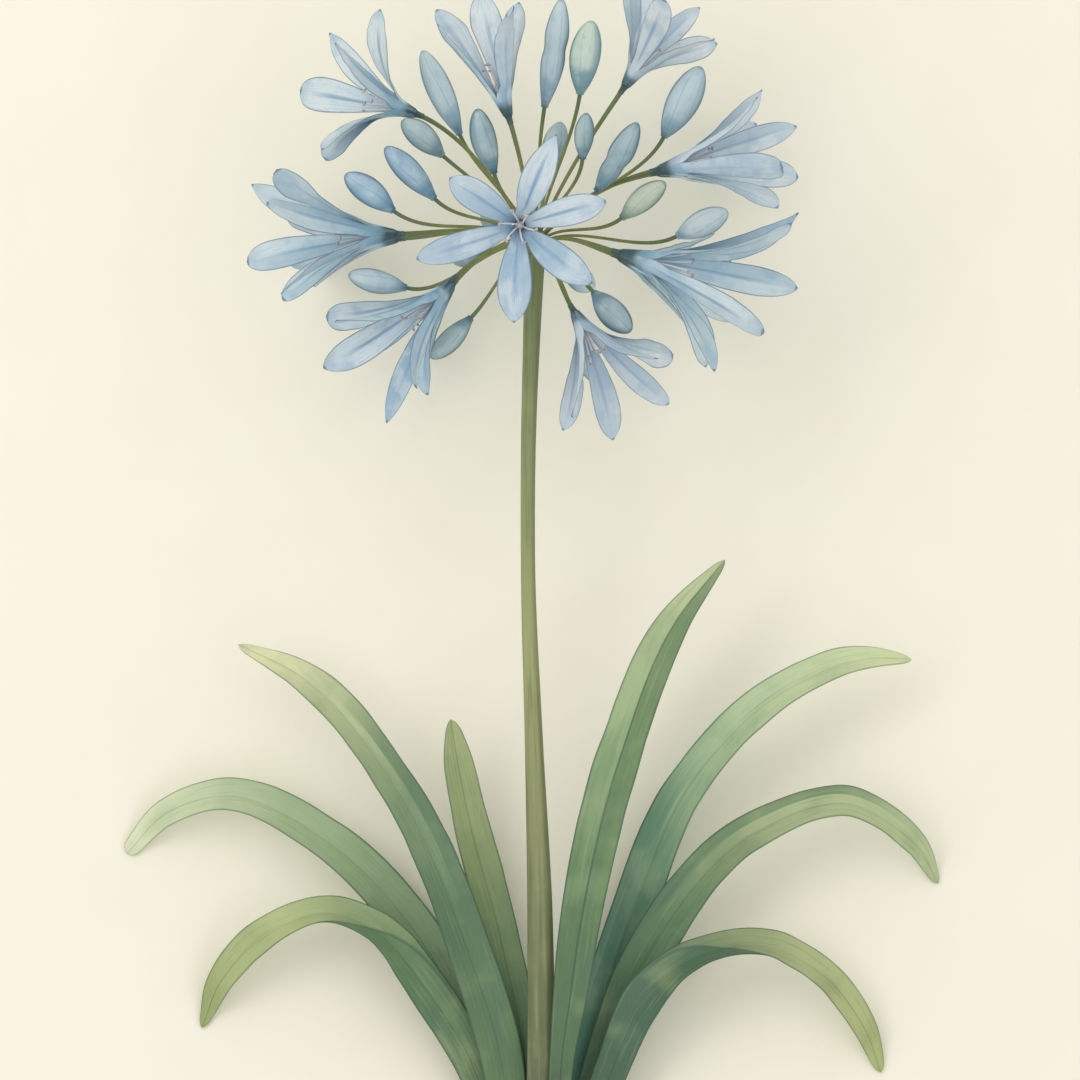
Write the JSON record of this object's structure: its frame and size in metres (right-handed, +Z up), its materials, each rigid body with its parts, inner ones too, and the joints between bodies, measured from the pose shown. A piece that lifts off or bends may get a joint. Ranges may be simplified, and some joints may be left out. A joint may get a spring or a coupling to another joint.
{
  "type": "agapanthus plant",
  "caption": "Compact agapanthus cut at its crown and lying down: strap leaves in a fan, one tall round flower stem and a loose ball of pale blue florets and buds.",
  "frame": {"origin": "middle of the outline of the lying plant, on the surface that it lies on", "axes": "+Y along the flower stem from the crown to the flower head, +Z up from the surface, +X to the right seen from above with the flower head away from the viewer"},
  "size_m": [0.3302, 0.4844, 0.1594],
  "materials": {
    "crown": "dull, fibrous",
    "leaf": "satin, finely veined along its length",
    "stem": "satin, faintly ribbed",
    "tepal": "soft, thin petal with a darker stripe",
    "bud": "soft, waxy"
  },
  "bodies": {
    "root": {"crown": "crown", "leaf_1": "leaf", "leaf_2": "leaf", "leaf_3": "leaf", "leaf_4": "leaf", "leaf_5": "leaf", "leaf_6": "leaf", "leaf_7": "leaf", "leaf_8": "leaf", "flower_stem": "stem", "floret_1": "tepal", "floret_2": "tepal", "floret_3": "tepal", "floret_4": "tepal", "floret_5": "tepal", "floret_6": "tepal", "floret_7": "tepal", "floret_8": "tepal", "floret_9": "tepal", "floret_10": "tepal", "floret_11": "tepal", "floret_12": "tepal", "floret_13": "tepal", "bud_1": "bud", "bud_2": "bud", "bud_3": "bud", "bud_4": "bud", "bud_5": "bud", "bud_6": "bud", "bud_7": "bud", "bud_8": "bud", "bud_9": "bud", "bud_10": "bud", "bud_11": "bud", "bud_12": "bud", "bud_13": "bud", "bud_14": "bud", "bud_15": "bud", "bud_16": "bud", "bud_17": "bud", "bud_18": "bud", "bud_19": "bud", "bud_20": "bud", "bud_21": "bud"}
  },
  "joints": []
}
